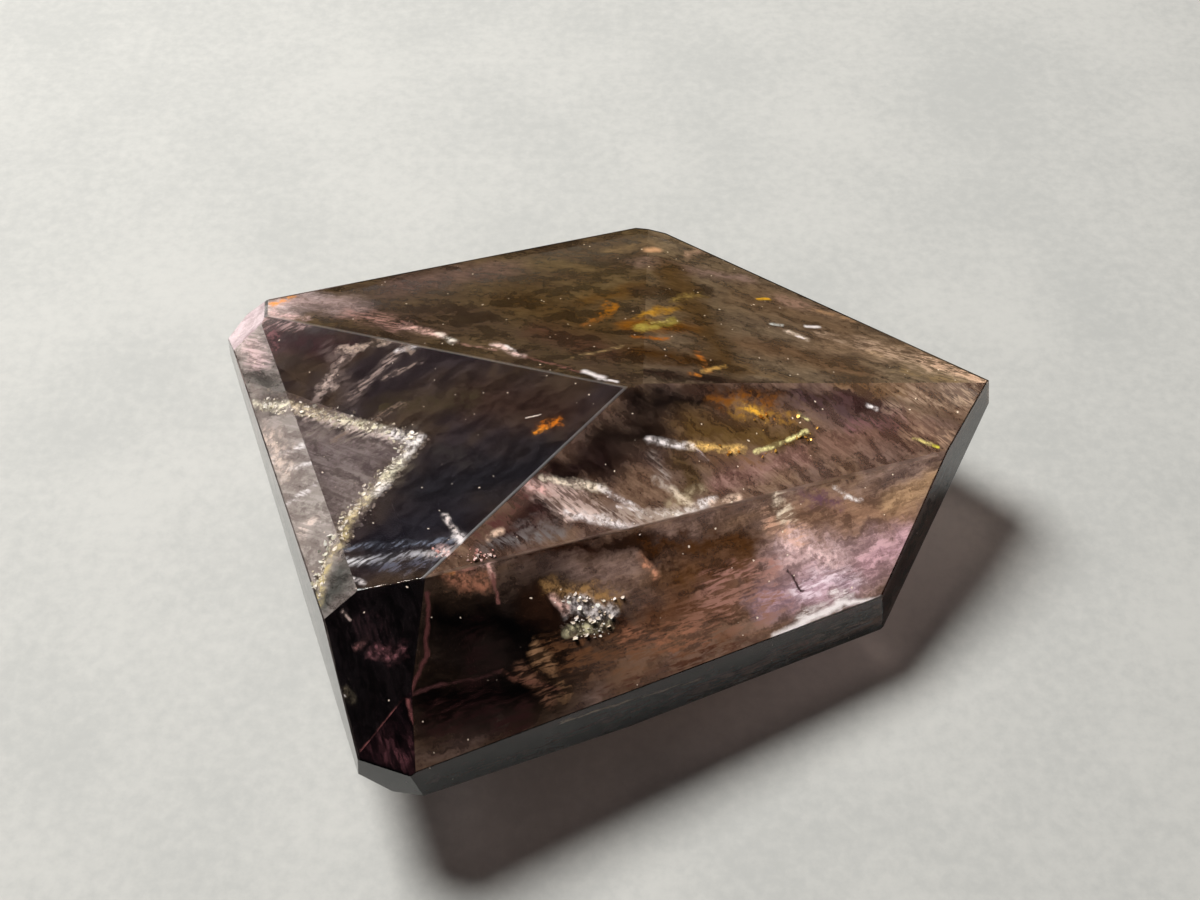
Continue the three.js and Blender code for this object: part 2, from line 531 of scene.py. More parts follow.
def finish_piece(piece, material):
    """Gives the piece its material and the body it moves with."""
    piece.data.materials.clear()
    piece.data.materials.append(material)
    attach(piece, "root")
    print(piece.name, triangles(piece), "triangles")


# %% [markdown]
# ### Where a mark lies
# A mark is a line with a width, noted down by where it shows on the picture, because that is how it was
# judged. `in_stone` follows the view ray to the surface, bends it as quartz does, and goes on to the
# veil.

# %% Follow a view ray into the stone
PICTURE_WIDE = 1200
PICTURE_HIGH = 900
QUARTZ_BEND = 1 / QUARTZ_INDEX


def in_stone(x, y, depth, way=None):
    """The point of the stone that shows at this pixel of the picture and lies this many millimetres under the
    flat that faces this way, or else under the flat that shows there."""
    film = Vector((x - PICTURE_WIDE / 2, PICTURE_HIGH / 2 - y, -PICTURE_WIDE * LENS / SENSOR_WIDTH))
    ray = (camera.rotation_euler.to_matrix() @ film).normalized()
    eye = VIEW_FROM / MM
    reach, normal, height = max(((height - normal.dot(eye)) / normal.dot(ray), normal, height)
                                for normal, height in PLANES if normal.dot(ray) < 0)
    entry = eye + ray * reach
    slant = -normal.dot(ray)
    straight = math.sqrt(1 - QUARTZ_BEND ** 2 * (1 - slant ** 2))
    bent = ray * QUARTZ_BEND + normal * (QUARTZ_BEND * slant - straight)
    if way:
        normal, height = max(PLANES, key=lambda plane: plane[0].dot(way))
    return entry + bent * (height - depth - normal.dot(entry)) / normal.dot(bent)


def marker(look, usual):
    """A function that notes down marks of this look: start and end on the picture, width in millimetres, tone
    as the picture shows it, and how much it covers where that isn't as usual."""
    return lambda x1, y1, x2, y2, width, tone, cover=usual: (x1, y1, x2, y2, width, tone, cover, look)


soft = marker("soft", 0.95)
fibre = marker("fibrous", 0.9)
puff = marker("cloudy", 1)


def placed(way, gain, marks):
    """Marks moved from the picture to the veil under the flat that faces this way. The gain makes up for the
    light that is lost in the stone."""
    return [(in_stone(x1, y1, VEIL_DEPTH, way), in_stone(x2, y2, VEIL_DEPTH, way), width,
             colour(*(min(255, part * gain) for part in tone)), cover, look)
            for x1, y1, x2, y2, width, tone, cover, look in marks]


# %% [markdown]
# ### The veils' material
# Smoke in two shades, with dark streaks drawn out one way, and the marks. It is clear where there is no
# cloud. It is lit as if it faced up, because a cloud has no surface that could turn away from the lamp, and
# part of the lamp's light goes on to what lies below.

# %% A cloudy material
WIDE = 0.8
VEIL_SHADE = (0.42, 0.36, 0.34, 1.0)
SPARK_SHARE = 0.007
SPARK_COLOUR = colour(245, 235, 215)


def in_smoke(mark):
    """Whether the mark belongs to the smoke and gets its dark streaks. All others lie clean on top of it."""
    start, end, width, tone, cover, look = mark
    return width >= WIDE and look == "soft"


def cloud_material(name, shades, grain, covers, marks):
    """A see-through layer of smoke. shades are its main and second colour and the tint of its dark streaks.
    grain is the way that it is drawn out, its fineness and how far it is drawn. covers are the least and most
    that it hides. Each mark is (start, end, width, colour, cover, look), with points in millimetres, where
    look is soft, fibrous, cloudy or grainy."""
    material, tree, output, point = new_material(name)
    main, second, streaks = (colour(*shade) for shade in shades)
    way, fineness, drawn = grain
    way = Vector(way).normalized()
    least, most = covers
    wide_point, narrow_point = wavering(tree, point, 0.45, 3.4, 0.9)
    wide = fibre_mask(tree, point, way, fineness * 0.25, 1.8, 0.38, 0.62)
    mottle = fibre_mask(tree, wide_point, way, fineness, drawn, 0.3, 0.72)
    fine = fibre_mask(tree, point, way, 3.4, drawn * 1.3, 0.42, 0.62)
    used = {look for start, end, width, tone, cover, look in marks}
    looks = {"fibrous": maths(tree, "MULTIPLY", ramp(tree, fine, 0.0, 0.8, 0.12, 1.0),
                              ramp(tree, mottle, 0.0, 0.7, 0.4, 1.0))}
    if "cloudy" in used:
        looks["cloudy"] = ramp(tree, noise(tree, point, 1.7, 5.0, 0.68)[0], 0.4, 0.62, 0.12, 1.1)
    if "grainy" in used:
        looks["grainy"] = use_group(tree, grains, {"Point": point, "Fineness": 2.8, "Share": 0.6})
    shade = blend_colours(tree, wide, main, second)
    hides = blend_values(tree, wide, most, most * 0.8 + least * 0.2)
    for start, end, width, tone, cover, look in filter(in_smoke, marks):
        mask = streak_mask(tree, wide_point, start, end, width)
        shade = blend_colours(tree, mask, shade, tone)
        hides = blend_values(tree, mask, hides, cover)
    shade = darker(tree, maths(tree, "MULTIPLY", ramp(tree, mottle, 0.9, 0.0), 0.8), shade, streaks)
    shade = darker(tree, maths(tree, "MULTIPLY", ramp(tree, fine, 0.9, 0.0), 0.4), shade, streaks)
    hides = maths(tree, "MULTIPLY", hides, ramp(tree, mottle, 0.0, 0.6, 0.82, 1.0))
    for start, end, width, tone, cover, look in (mark for mark in marks if not in_smoke(mark)):
        mask = streak_mask(tree, wide_point if width >= WIDE else narrow_point, start, end, width)
        if look in looks:
            mask = maths(tree, "MULTIPLY", mask, looks[look])
        shade = blend_colours(tree, mask, shade, tone)
        hides = blend_values(tree, mask, hides, cover)
    spark = use_group(tree, grains, {"Point": narrow_point, "Fineness": 4.3, "Share": SPARK_SHARE})
    spark = ramp(tree, spark, 0.8, 1.0)
    shade = blend_colours(tree, spark, shade, SPARK_COLOUR)
    hides = maths(tree, "MAXIMUM", hides, spark)
    upward = node(tree, "VectorTransform", {
        "vector_type": "NORMAL", "convert_from": "OBJECT", "convert_to": "WORLD"}, {0: (0.0, 0.0, 1.0)})
    surface = node(tree, "BsdfPrincipled", inputs={
        "Base Color": shade, "Roughness": 0.6, "Specular IOR Level": 0.0, "Alpha": hides,
        "Normal": upward.outputs[0]})
    let_lamp_through(tree, output, surface, VEIL_SHADE)
    return material


def smoke_veil(place, ways, shades, grain, covers, marks):
    """The veil under the flats that face these ways, with its smoke and its marks."""
    veil = lift_veil("veil_" + place, facing(*ways))
    finish_piece(veil, cloud_material("smoke_" + place, shades, grain, covers, marks))


# %% [markdown]
# ### Under the left top flat
# Dark and clear, with a faint brown smoke, a few cream feathers near the left corner, and one orange spot. It
# stays clear over the buried face, which shows through it. The thin light-blue line along its edge to the
# dark corner is a painted highlight.

# %% Veil under the left top flat
LEFT_MARKS = [
    fibre(300, 432, 410, 436, 1.3, (106, 100, 92), 0.7),
    fibre(350, 515, 405, 462, 1.2, (98, 92, 80), 0.6),
    soft(275, 338, 340, 350, 2.6, (52, 36, 38), 0.85),
    soft(430, 490, 540, 470, 5, (42, 42, 46), 0.6),
    soft(380, 540, 450, 520, 2.6, (46, 46, 52), 0.6),
    soft(480, 400, 560, 410, 3.6, (58, 46, 40), 0.8),
    puff(385, 405, 470, 400, 1.6, (56, 50, 38), 0.85),
    soft(330, 430, 350, 500, 3.2, (90, 84, 86), 0.06),
    soft(365, 440, 395, 450, 1.6, (90, 84, 86), 0.05),
    soft(290, 420, 330, 440, 1.6, (90, 84, 86), 0.06),
    fibre(302, 425, 326, 385, 0.8, (112, 102, 98), 0.8),
    puff(325, 388, 345, 352, 0.9, (158, 146, 138), 0.9),
    puff(345, 352, 392, 338, 0.8, (150, 138, 126), 0.9),
    fibre(350, 398, 398, 352, 0.7, (130, 118, 112), 0.85),
    puff(398, 350, 418, 346, 0.45, (205, 195, 185), 0.95),
    fibre(385, 378, 420, 362, 0.5, (125, 112, 104), 0.8),
    fibre(335, 440, 400, 405, 0.6, (98, 86, 76), 0.8),
    puff(400, 340, 412, 352, 0.5, (120, 108, 98), 0.8),
    puff(540, 428, 556, 422, 0.8, (165, 98, 30), 0.95),
    puff(535, 432, 545, 430, 0.4, (190, 120, 40)),
    fibre(345, 548, 455, 540, 0.5, (96, 104, 116), 0.85),
    fibre(348, 562, 480, 550, 0.6, (178, 182, 196), 0.95),
    puff(349, 580, 363, 583, 0.3, (200, 212, 230)),
    # The next two marks are a painted highlight: a light-blue line where the edge to the dark corner catches
    # the light.
    soft(356, 592, 402, 588, 0.26, (170, 190, 215), 1),
    soft(402, 588, 452, 572, 0.2, (120, 140, 160), 0.9),
    fibre(380, 560, 450, 570, 1.3, (84, 88, 100), 0.8),
    puff(445, 515, 460, 540, 0.35, (185, 180, 176)),
    puff(455, 535, 470, 546, 0.6, (236, 217, 231)),
    puff(428, 556, 488, 553, 0.6, (245, 205, 195)),
    soft(572, 447, 562, 462, 0.09, (235, 232, 225), 1),
    soft(525, 418, 540, 414, 0.1, (190, 180, 170), 1),
    fibre(440, 450, 470, 462, 1, (50, 48, 46), 0.7),
    puff(285, 407, 340, 420, 0.75, (178, 171, 146)),
    puff(340, 420, 385, 432, 0.75, (194, 185, 162)),
    puff(385, 432, 418, 440, 0.72, (215, 206, 186)),
    puff(418, 440, 400, 462, 0.69, (210, 201, 182)),
    puff(400, 462, 385, 480, 0.69, (194, 186, 165)),
    puff(385, 480, 365, 500, 0.69, (189, 180, 155)),
    puff(365, 500, 350, 520, 0.63, (168, 159, 129)),
    puff(350, 520, 340, 545, 0.6, (147, 139, 106)),
    puff(376, 492, 384, 484, 0.68, (236, 233, 218)),
    fibre(290, 412, 395, 440, 0.7, (150, 140, 136)),
    fibre(264, 322, 305, 326, 1, (150, 132, 130)),
    puff(268, 330, 280, 350, 0.8, (96, 70, 72), 0.8),
    puff(440, 548, 452, 556, 0.6, (170, 150, 148), 0.9),
    fibre(330, 350, 352, 400, 1.4, (92, 82, 78), 0.6),
]
smoke_veil(
    "left_top", [LEFT_TOP], [(96, 82, 68), (78, 70, 72), (178, 172, 178)], ((0.8, 0.6, 0.1), 0.9, 3.0),
    (0.2, 0.75), placed(LEFT_TOP, 1.38, LEFT_MARKS))

# %% [markdown]
# ### Under the back flats
# Olive and golden brown, with an oval green-yellow pocket, pinkish white haze at the left corner, and cream
# patches along the ridge. The two flats share the marks near the ridge between them.

# %% Veils under the back flats
BACK_WAY = (0.9, -0.3, 0.1)
BACK_MARKS = [
    soft(400, 285, 500, 268, 3, (96, 80, 72)),
    soft(520, 300, 600, 330, 4, (72, 58, 38)),
    soft(540, 330, 610, 352, 2.2, (74, 56, 44)),
    soft(590, 300, 640, 288, 1.8, (84, 64, 36)),
    soft(640, 352, 705, 362, 2.4, (68, 48, 24)),
    soft(640, 290, 700, 292, 1.6, (62, 50, 38)),
    soft(640, 262, 745, 280, 1.6, (118, 102, 96)),
    puff(600, 318, 612, 306, 0.8, (135, 90, 24), 0.95),
    puff(585, 325, 600, 318, 0.6, (120, 80, 40), 0.9),
    puff(675, 300, 700, 295, 0.8, (120, 104, 60), 0.9),
    puff(688, 373, 698, 375, 0.35, (190, 120, 40)),
    fibre(698, 352, 710, 372, 0.35, (165, 100, 36), 0.95),
    puff(704, 372, 724, 366, 0.38, (165, 135, 76)),
    soft(648, 250, 656, 250, 0.7, (176, 142, 112)),
    soft(690, 256, 702, 250, 0.8, (168, 146, 128)),
    soft(610, 250, 650, 244, 1.2, (100, 86, 66)),
]
POCKET_MARKS = [
    soft(632, 326, 692, 328, 1.7, (112, 74, 22), 0.96),
    soft(640, 315, 680, 308, 0.85, (158, 122, 46), 0.97),
    soft(641, 328, 674, 321, 0.82, (140, 132, 66), 0.97),
    puff(632, 337, 668, 339, 0.4, (150, 90, 26), 0.9),
    puff(652, 323, 667, 320, 0.22, (190, 184, 110), 0.95),
    soft(668, 268, 728, 366, 2.7, (76, 60, 38), 0.94),
]
BACK_LEFT_MARKS = [
    soft(250, 320, 300, 303, 2.6, (201, 193, 195), 0.98),
    soft(300, 303, 352, 306, 2.4, (149, 135, 132), 0.97),
    fibre(352, 312, 400, 326, 1.5, (146, 116, 108)),
    puff(276, 304, 288, 300, 0.8, (235, 140, 75), 0.97),
    puff(262, 312, 300, 318, 1, (196, 172, 168), 0.9),
    puff(404, 326, 440, 336, 0.7, (190, 160, 150), 0.95),
    puff(438, 334, 454, 342, 0.45, (225, 200, 190)),
    puff(494, 344, 522, 356, 0.5, (195, 176, 170)),
    puff(505, 346, 514, 350, 0.3, (235, 228, 225)),
    soft(583, 371, 604, 377, 0.4, (255, 253, 250), 1),
    puff(600, 378, 616, 382, 0.28, (235, 225, 225)),
    fibre(572, 358, 622, 346, 0.28, (150, 134, 96), 0.95),
    fibre(452, 342, 494, 350, 0.3, (140, 112, 104)),
    fibre(523, 357, 580, 372, 0.28, (120, 84, 80)),
]
smoke_veil(
    "back_left", [BACK_LEFT], [(110, 95, 70), (92, 77, 62), (172, 165, 156)], (BACK_WAY, 0.75, 2.6),
    (0.6, 0.94), placed(BACK_LEFT, 1.28, BACK_MARKS + BACK_LEFT_MARKS + POCKET_MARKS))
BACK_RIGHT_MARKS = [
    soft(760, 300, 840, 330, 4.6, (104, 88, 68)),
    soft(830, 345, 930, 352, 3.6, (116, 100, 80)),
    soft(750, 345, 860, 372, 2.4, (98, 80, 60)),
    soft(640, 374, 770, 385, 1.3, (52, 41, 34)),
    fibre(745, 366, 800, 382, 1, (98, 80, 54)),
    fibre(780, 300, 860, 318, 1.4, (116, 98, 84), 0.95),
    puff(815, 310, 850, 320, 0.6, (146, 120, 90), 0.9),
    puff(780, 300, 800, 304, 0.8, (136, 112, 96), 0.9),
    fibre(868, 345, 985, 385, 2, (160, 142, 122), 0.95),
    fibre(930, 362, 990, 380, 1.6, (190, 164, 142), 0.98),
    soft(960, 375, 992, 384, 1, (205, 180, 160), 0.98),
    puff(870, 352, 880, 356, 0.5, (176, 154, 124), 0.9),
    fibre(900, 370, 960, 385, 0.8, (120, 104, 76)),
    soft(758, 299, 767, 299, 0.36, (255, 165, 30), 1),
    puff(772, 324, 781, 325, 0.32, (196, 216, 210)),
    soft(806, 326, 818, 327, 0.34, (252, 252, 255), 1),
    puff(788, 332, 806, 339, 0.5, (196, 186, 170)),
    soft(797, 336, 803, 338, 0.2, (250, 240, 235), 1),
    fibre(818, 332, 850, 345, 0.8, (150, 134, 116)),
]
smoke_veil(
    "back_right", [BACK_RIGHT], [(134, 120, 98), (118, 104, 86), (182, 174, 166)], (BACK_WAY, 0.75, 2.6),
    (0.6, 0.94), placed(BACK_RIGHT, 1.22, BACK_MARKS + BACK_RIGHT_MARKS + POCKET_MARKS))

# %% [markdown]
# ### Under the right top flat
# Dark next to the ridge, then a white, fibrous fracture that trails off to the right, golden and olive smoke
# behind it, and pale peach streaks at the right tip.

# %% Veil under the right top flat
RIGHT_MARKS = [
    soft(632, 402, 700, 400, 2.4, (28, 23, 21), 0.92),
    soft(600, 440, 650, 432, 3, (32, 26, 23), 0.9),
    soft(556, 474, 606, 462, 2.2, (36, 27, 26), 0.9),
    soft(690, 388, 860, 402, 1, (54, 42, 36), 0.92),
    fibre(800, 402, 885, 424, 1.4, (66, 52, 55)),
    soft(840, 398, 900, 406, 1.2, (72, 55, 54), 0.9),
    fibre(475, 534, 545, 484, 1.2, (73, 47, 45)),
    soft(500, 540, 545, 510, 1.6, (53, 36, 35), 0.9),
    puff(524, 484, 548, 492, 0.6, (190, 156, 150)),
    fibre(480, 548, 560, 532, 0.7, (100, 100, 100), 0.92),
    puff(520, 530, 570, 520, 0.8, (93, 88, 86), 0.9),
    puff(488, 538, 500, 530, 0.4, (190, 170, 150), 0.95),
    fibre(545, 500, 600, 516, 1.1, (140, 129, 122), 0.96),
    puff(545, 479, 602, 487, 0.5, (205, 190, 172)),
    puff(600, 486, 640, 512, 0.36, (232, 216, 196)),
    puff(568, 511, 602, 521, 0.6, (250, 240, 230)),
    puff(602, 520, 642, 531, 0.52, (246, 232, 214)),
    fibre(560, 505, 590, 512, 0.8, (196, 180, 172), 1),
    puff(640, 515, 690, 513, 0.5, (206, 200, 190)),
    puff(690, 511, 713, 500, 0.5, (245, 242, 240)),
    fibre(640, 530, 676, 506, 0.42, (144, 133, 122), 0.95),
    puff(712, 505, 738, 497, 0.45, (184, 166, 148)),
    puff(670, 505, 700, 490, 0.7, (135, 126, 104), 0.9),
    soft(618, 508, 636, 511, 0.2, (255, 246, 235), 1),
    soft(690, 430, 795, 440, 2.4, (84, 68, 41)),
    puff(720, 400, 772, 402, 1.2, (98, 63, 27), 0.95),
    puff(690, 446, 742, 450, 0.5, (196, 166, 100)),
    puff(757, 452, 806, 432, 0.28, (216, 196, 140)),
    puff(798, 414, 808, 419, 0.3, (215, 205, 140)),
    fibre(700, 460, 760, 462, 0.8, (98, 75, 56)),
    puff(648, 440, 692, 447, 0.42, (215, 215, 226)),
    fibre(692, 447, 706, 461, 0.3, (186, 186, 192), 1),
    fibre(652, 456, 666, 476, 0.6, (131, 126, 120), 0.95),
    puff(655, 480, 674, 491, 0.5, (140, 133, 124), 0.95),
    puff(674, 491, 692, 506, 0.5, (176, 168, 150)),
    soft(680, 458, 692, 488, 1.3, (79, 66, 46), 0.92),
    soft(716, 482, 802, 456, 1.3, (127, 104, 97)),
    soft(830, 442, 920, 432, 1.8, (102, 82, 72)),
    fibre(850, 425, 900, 420, 1.2, (100, 75, 75), 0.95),
    fibre(900, 402, 985, 392, 1.8, (140, 124, 108), 0.95),
    fibre(890, 398, 968, 424, 0.6, (75, 63, 52)),
    fibre(905, 432, 950, 440, 1, (135, 115, 97), 0.95),
    puff(867, 404, 877, 408, 0.28, (245, 245, 250)),
    puff(933, 455, 951, 469, 0.34, (248, 238, 226)),
    soft(933, 445, 938, 447, 0.2, (255, 210, 60), 1),
    puff(915, 438, 930, 444, 0.22, (225, 190, 120)),
    soft(840, 380, 900, 392, 1, (108, 90, 68), 0.9),
    puff(735, 412, 792, 418, 1, (115, 89, 45)),
    puff(745, 408, 760, 414, 0.4, (190, 150, 56)),
    fibre(560, 492, 640, 524, 1.3, (150, 138, 130)),
    fibre(600, 516, 700, 516, 0.9, (140, 130, 120)),
    fibre(530, 486, 580, 496, 0.7, (166, 148, 142), 0.95),
]
smoke_veil(
    "right_top", [RIGHT_TOP], [(146, 124, 104), (132, 112, 102), (168, 150, 142)],
    ((0.8, -0.5, -0.3), 0.9, 4.0), (0.5, 0.92), placed(RIGHT_TOP, 1.3, RIGHT_MARKS))

# %% [markdown]
# ### Under the front flat
# The left part is clear and nearly black. To the right a mauve-pink cloud thickens, streaked with brown. The
# bright white-pink band along its edge to the front side is a painted highlight, where the rounded edge
# catches the light. The list can't grow: past about 55 marks the material is too large for the renderer, and
# the veil turns black.

# %% Veil under the front flat
FRONT_MARKS = [
    soft(440, 620, 535, 628, 7.4, (6, 4, 4)),
    soft(430, 705, 530, 690, 6.6, (9, 6, 6), 0.94),
    soft(540, 650, 548, 598, 3.4, (8, 6, 6), 0.93),
    soft(520, 548, 640, 545, 1.6, (36, 23, 16), 0.93),
    soft(645, 548, 745, 538, 1.6, (51, 33, 18), 0.93),
    puff(615, 548, 665, 562, 1.2, (30, 21, 16), 0.93),
    soft(680, 575, 745, 562, 2.8, (77, 54, 33), 0.93),
    soft(650, 612, 725, 602, 2, (80, 57, 41), 0.93),
    fibre(560, 660, 720, 642, 2.4, (81, 58, 41), 0.93),
    fibre(630, 640, 700, 632, 1.6, (122, 87, 68), 0.93),
    fibre(700, 622, 775, 602, 2.2, (104, 79, 67), 0.95),
    soft(540, 600, 620, 625, 2.6, (39, 27, 20), 0.9),
    soft(790, 560, 865, 558, 3.3, (150, 131, 131), 0.97),
    soft(800, 520, 905, 508, 2.4, (117, 95, 78)),
    soft(768, 600, 845, 582, 2, (154, 134, 145), 0.96),
    soft(895, 500, 935, 480, 1.6, (138, 117, 92)),
    soft(870, 560, 905, 540, 2, (152, 128, 134), 0.96),
    fibre(775, 498, 792, 522, 0.8, (190, 164, 148), 0.97),
    fibre(800, 590, 852, 574, 1.2, (196, 164, 172), 0.97),
    puff(790, 545, 830, 560, 1.6, (169, 152, 152), 0.96),
    fibre(770, 520, 800, 536, 1, (154, 126, 108), 0.95),
    puff(808, 495, 832, 506, 1.2, (76, 57, 65), 0.95),
    puff(846, 497, 860, 500, 0.34, (232, 232, 250)),
    puff(833, 487, 843, 493, 0.2, (225, 225, 235)),
    soft(788, 571, 802, 590, 0.14, (46, 27, 27), 0.6),
    soft(802, 590, 813, 588, 0.13, (49, 28, 28), 0.6),
    puff(640, 558, 656, 576, 0.45, (150, 112, 90), 0.95),
    fibre(536, 650, 560, 692, 0.8, (112, 89, 67), 0.95),
    fibre(520, 668, 550, 700, 0.7, (96, 72, 58)),
    puff(552, 588, 612, 598, 1.2, (117, 94, 62), 0.95),
    puff(572, 606, 606, 614, 0.9, (250, 240, 226), 0.9),
    puff(568, 632, 606, 626, 0.55, (200, 176, 140)),
    puff(553, 598, 566, 610, 0.5, (176, 144, 136)),
    puff(438, 552, 490, 553, 0.5, (250, 222, 212)),
    soft(444, 559, 488, 557, 0.22, (206, 80, 66), 1),
    puff(443, 570, 452, 572, 0.32, (225, 118, 30)),
    puff(450, 574, 482, 580, 0.9, (118, 84, 68), 0.93),
    fibre(436, 566, 470, 568, 0.5, (140, 104, 96)),
    puff(486, 560, 492, 575, 0.35, (190, 140, 132)),
    soft(428, 592, 427, 655, 0.22, (78, 49, 49), 0.6),
    soft(427, 655, 408, 698, 0.22, (81, 52, 52), 0.6),
    soft(491, 574, 498, 602, 0.22, (105, 73, 69), 0.6),
    soft(410, 694, 500, 672, 0.2, (66, 45, 45), 0.6),
    fibre(500, 672, 562, 692, 0.28, (87, 61, 52)),
    fibre(440, 720, 520, 720, 2, (40, 26, 26), 0.85),
    fibre(600, 690, 760, 640, 1, (54, 36, 30), 0.93),
    # The next three marks are a painted highlight: the rounded edge to the front side catching the light.
    soft(776, 637, 838, 605, 0.42, (255, 246, 250), 1),
    soft(836, 603, 884, 597, 0.3, (250, 226, 226), 1),
    fibre(800, 622, 850, 598, 0.9, (210, 180, 186), 0.97),
    fibre(470, 640, 480, 700, 2, (30, 20, 20), 0.8),
    fibre(715, 577, 772, 566, 1.6, (128, 98, 90), 0.85),
    fibre(708, 600, 776, 588, 1.5, (122, 94, 84), 0.85),
    puff(440, 557, 486, 560, 0.75, (176, 146, 140), 0.9),
]
smoke_veil(
    "front", [FRONT], [(150, 124, 102), (172, 149, 137), (172, 164, 164)], ((0.89, 0.44, -0.08), 0.8, 4.0),
    (0.5, 0.94), placed(FRONT, 1.5, FRONT_MARKS))

# %% [markdown]
# ### Under the left bevel and the small flats
# The bevel shows the buried face in grey, and ends in a flat grey-green tone. The dark corner is clear, with
# one small pink patch. The front side shows a few mauve streaks.

# %% Veils under the small flats
BEVEL_MARKS = [
    soft(256, 372, 276, 400, 1.7, (92, 92, 88), 0.55),
    soft(250, 345, 262, 360, 1.2, (150, 138, 136), 0.7),
    soft(322, 604, 345, 572, 1.7, (70, 73, 70), 0.97),
    fibre(270, 462, 310, 442, 0.5, (210, 205, 200), 1),
    fibre(285, 505, 322, 482, 0.5, (196, 186, 180), 0.95),
    puff(290, 468, 325, 462, 0.35, (236, 232, 228)),
    fibre(300, 560, 312, 520, 0.8, (170, 160, 152)),
    puff(262, 430, 285, 470, 1.4, (168, 158, 148), 0.8),
    puff(246, 399, 285, 407, 0.69, (184, 178, 158)),
    puff(340, 545, 330, 560, 0.63, (147, 139, 106)),
    puff(330, 560, 322, 580, 0.6, (147, 139, 103)),
    puff(322, 580, 318, 604, 0.57, (142, 135, 99)),
    fibre(246, 340, 264, 362, 1.6, (160, 146, 146), 0.92),
]
smoke_veil(
    "left_bevel", [LEFT_BEVEL], [(226, 224, 216), (206, 202, 196), (185, 178, 176)],
    ((14.5, -9.6, 4.5), 1.0, 8.0), (0.3, 0.62), placed(LEFT_BEVEL, 1.45, BEVEL_MARKS))
CORNER_MARKS = [
    puff(384, 658, 400, 648, 0.8, (92, 64, 68), 0.93),
    puff(358, 648, 368, 640, 0.4, (80, 58, 58), 0.9),
    puff(345, 690, 352, 700, 0.5, (70, 66, 56), 0.9),
    puff(343, 612, 350, 618, 0.2, (120, 110, 105), 0.9),
    soft(344, 692, 346, 695, 0.12, (235, 230, 220), 1),
    soft(408, 698, 362, 750, 0.2, (96, 62, 62), 0.9),
    fibre(362, 620, 380, 640, 1.4, (34, 26, 28), 0.7),
]
DARK_WAY = (0.3, -0.8, -0.4)
smoke_veil(
    "dark_corner", [DARK_CORNER], [(46, 40, 42), (38, 34, 36), (130, 124, 130)], (DARK_WAY, 1.2, 5.0),
    (0.3, 0.5), placed(DARK_CORNER, 1.6, CORNER_MARKS))
TRIANGLE_MARKS = [
    soft(408, 700, 420, 740, 0.22, (96, 62, 62), 0.9),
    fibre(385, 745, 415, 760, 1.6, (64, 42, 46), 0.85),
]
smoke_veil(
    "triangle", [TRIANGLE], [(46, 34, 38), (36, 28, 32), (130, 120, 130)], (DARK_WAY, 1.2, 5.0),
    (0.3, 0.6), placed(TRIANGLE, 1.5, TRIANGLE_MARKS))
SIDE_MARKS = [
    fibre(800, 650, 880, 615, 1.6, (168, 114, 99), 0.93),
    fibre(700, 690, 800, 650, 1.4, (120, 81, 69)),
    fibre(560, 735, 700, 690, 0.9, (90, 60, 54), 0.85),
    fibre(430, 780, 560, 745, 1, (69, 48, 45), 0.8),
    fibre(560, 722, 700, 680, 0.22, (180, 123, 102)),
    fibre(700, 700, 870, 622, 0.25, (210, 150, 132)),
]
smoke_veil(
    "front_side", [FRONT_SIDE, TIP_SIDE], [(104, 66, 62), (84, 54, 54), (150, 126, 126)],
    ((0.88, 0.46, -0.1), 1.4, 9.0), (0.4, 0.85), placed(FRONT_SIDE, 1.9, SIDE_MARKS))

# %% [markdown]
# ### Under the outer sides
# The smoke goes on to the edge all round, or the rim would look like an empty, dark bottle. The left corner
# is full of pinkish white haze. These sides hardly show on the picture, so their marks are in millimetres.

# %% Veils under the outer sides
smoke_veil(
    "back_sides", [BACK_SIDE_LEFT, BACK_SIDE_RIGHT], [(104, 88, 66), (92, 74, 58), (140, 120, 104)],
    (BACK_WAY, 0.75, 2.6), (0.6, 0.94), [
        ((-31.0, 14.0, 8.0), (-24.0, 17.0, 8.0), 4.0, colour(226, 206, 200), 0.97, "soft"),
        ((24.0, 12.0, 9.0), (31.0, 5.0, 10.0), 4.0, colour(214, 192, 166), 0.97, "soft"),
    ])
smoke_veil(
    "right_side", [RIGHT_SIDE], [(120, 92, 84), (104, 80, 74), (140, 118, 110)],
    ((0.4, 0.9, 0.1), 0.9, 4.0), (0.6, 0.94), [
        ((30.0, 3.0, 10.0), (31.5, 5.0, 10.0), 3.0, colour(214, 192, 166), 0.97, "soft"),
    ])
smoke_veil(
    "left_side", [LEFT_SIDE], [(196, 190, 182), (160, 154, 150), (150, 140, 140)],
    ((0.34, -0.94, 0.1), 0.9, 5.0), (0.4, 0.8), [
        ((-30.0, 10.0, 9.0), (-27.0, 3.0, 9.5), 3.0, colour(240, 222, 214), 0.9, "soft"),
        ((-20.0, -18.0, 12.0), (-17.0, -27.0, 9.0), 3.4, colour(60, 50, 52), 0.8, "soft"),
    ])
corner_haze = lift_veil("veil_left_corner", at_corner, ripple=0.03, cuts=3)
finish_piece(corner_haze, cloud_material(
    "haze_left_corner", [(226, 216, 220), (212, 200, 206), (214, 202, 204)], (BACK_WAY, 1.0, 2.0),
    (0.9, 0.99), []))

# %% [markdown]
# ## The buried face
# Long ago the crystal stopped growing, dust and tiny crystals settled on one face, and then it grew on. The
# old face now shows through the left bevel as a grey haze, and its rim as a grainy cream chevron. It is
# modelled as a plane that is cut off along the lines between its three corners.

